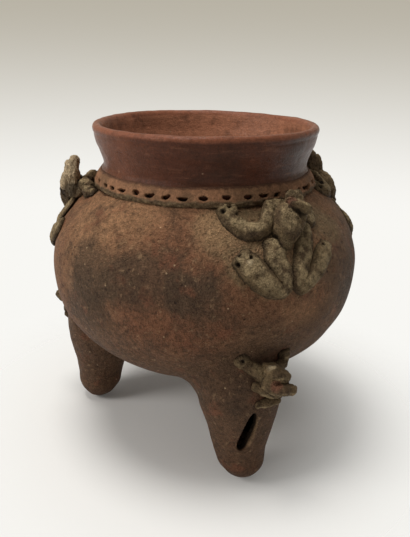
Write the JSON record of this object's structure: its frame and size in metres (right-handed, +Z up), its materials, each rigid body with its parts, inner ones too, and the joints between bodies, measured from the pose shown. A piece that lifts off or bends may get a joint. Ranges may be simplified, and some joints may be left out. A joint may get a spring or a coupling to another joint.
{
  "type": "rattle vase",
  "caption": "Round pottery bowl with a short flared neck on hollow rattle legs, each with a slit and loose pellets; small clinging creatures in relief.",
  "frame": {"origin": "on the surface it stands on, below the middle of the whole piece's outline; the bowl's own axis is 5.1 mm towards +X and 2.2 mm towards +Y of it", "axes": "+Z up through the mouth, -Y towards the pictured front, +X to that view's right"},
  "size_m": [0.1306, 0.1244, 0.1258],
  "materials": {
    "bowl_clay": "fired brown-red clay, mottled with dark fire clouds, matt and pitted",
    "red_slip": "burnished red slip with a soft sheen and dark mottling",
    "band_clay": "fired clay band, matt, with leaf-shaped punctures",
    "leg_clay": "fired brown clay, matt",
    "figure_clay": "grey-tan fired clay, matt, rough and encrusted",
    "pellet_clay": "plain fired clay balls"
  },
  "bodies": {
    "vase": {"bowl": "bowl_clay", "neck": "red_slip", "neck_band": "band_clay", "leg_1": "leg_clay", "leg_2": "leg_clay", "leg_3": "leg_clay", "front_figure_torso": "figure_clay", "front_figure_head": "figure_clay", "front_figure_left_arm": "figure_clay", "front_figure_right_arm": "figure_clay", "front_figure_left_leg": "figure_clay", "front_figure_right_leg": "figure_clay", "right_figure_torso": "figure_clay", "right_figure_head": "figure_clay", "right_figure_left_arm": "figure_clay", "right_figure_right_arm": "figure_clay", "right_figure_left_leg": "figure_clay", "right_figure_right_leg": "figure_clay", "left_figure_torso": "figure_clay", "left_figure_head": "figure_clay", "left_figure_left_arm": "figure_clay", "left_figure_right_arm": "figure_clay", "left_figure_left_leg": "figure_clay", "left_figure_right_leg": "figure_clay", "leg_1_figure_head": "figure_clay", "leg_1_figure_upper_strip": "figure_clay", "leg_1_figure_lower_strip": "figure_clay", "leg_1_figure_left_arm": "figure_clay", "leg_1_figure_right_arm": "figure_clay", "leg_2_figure_head": "figure_clay", "leg_2_figure_upper_strip": "figure_clay", "leg_2_figure_lower_strip": "figure_clay", "leg_2_figure_left_arm": "figure_clay", "leg_2_figure_right_arm": "figure_clay", "leg_3_figure_head": "figure_clay", "leg_3_figure_upper_strip": "figure_clay", "leg_3_figure_lower_strip": "figure_clay", "leg_3_figure_left_arm": "figure_clay", "leg_3_figure_right_arm": "figure_clay"},
    "leg_1_pellet_1": {"leg_1_pellet_1": "pellet_clay"},
    "leg_1_pellet_2": {"leg_1_pellet_2": "pellet_clay"},
    "leg_1_pellet_3": {"leg_1_pellet_3": "pellet_clay"},
    "leg_2_pellet_1": {"leg_2_pellet_1": "pellet_clay"},
    "leg_2_pellet_2": {"leg_2_pellet_2": "pellet_clay"},
    "leg_2_pellet_3": {"leg_2_pellet_3": "pellet_clay"},
    "leg_3_pellet_1": {"leg_3_pellet_1": "pellet_clay"},
    "leg_3_pellet_2": {"leg_3_pellet_2": "pellet_clay"},
    "leg_3_pellet_3": {"leg_3_pellet_3": "pellet_clay"}
  },
  "joints": [
    {"name": "leg_1_pellet_1_rattle", "type": "slide", "parent": "vase", "child": "leg_1_pellet_1", "axis": [-0.024, 0.0761, 0.9968], "range_m": [0, 0.022]},
    {"name": "leg_1_pellet_2_rattle", "type": "slide", "parent": "vase", "child": "leg_1_pellet_2", "axis": [-0.024, 0.0761, 0.9968], "range_m": [0, 0.022]},
    {"name": "leg_1_pellet_3_rattle", "type": "slide", "parent": "vase", "child": "leg_1_pellet_3", "axis": [-0.024, 0.0761, 0.9968], "range_m": [0, 0.022]},
    {"name": "leg_2_pellet_1_rattle", "type": "slide", "parent": "vase", "child": "leg_2_pellet_1", "axis": [-0.0539, -0.0588, 0.9968], "range_m": [0, 0.022]},
    {"name": "leg_2_pellet_2_rattle", "type": "slide", "parent": "vase", "child": "leg_2_pellet_2", "axis": [-0.0539, -0.0588, 0.9968], "range_m": [0, 0.022]},
    {"name": "leg_2_pellet_3_rattle", "type": "slide", "parent": "vase", "child": "leg_2_pellet_3", "axis": [-0.0539, -0.0588, 0.9968], "range_m": [0, 0.022]},
    {"name": "leg_3_pellet_1_rattle", "type": "slide", "parent": "vase", "child": "leg_3_pellet_1", "axis": [0.0779, -0.0173, 0.9968], "range_m": [0, 0.022]},
    {"name": "leg_3_pellet_2_rattle", "type": "slide", "parent": "vase", "child": "leg_3_pellet_2", "axis": [0.0779, -0.0173, 0.9968], "range_m": [0, 0.022]},
    {"name": "leg_3_pellet_3_rattle", "type": "slide", "parent": "vase", "child": "leg_3_pellet_3", "axis": [0.0779, -0.0173, 0.9968], "range_m": [0, 0.022]}
  ]
}
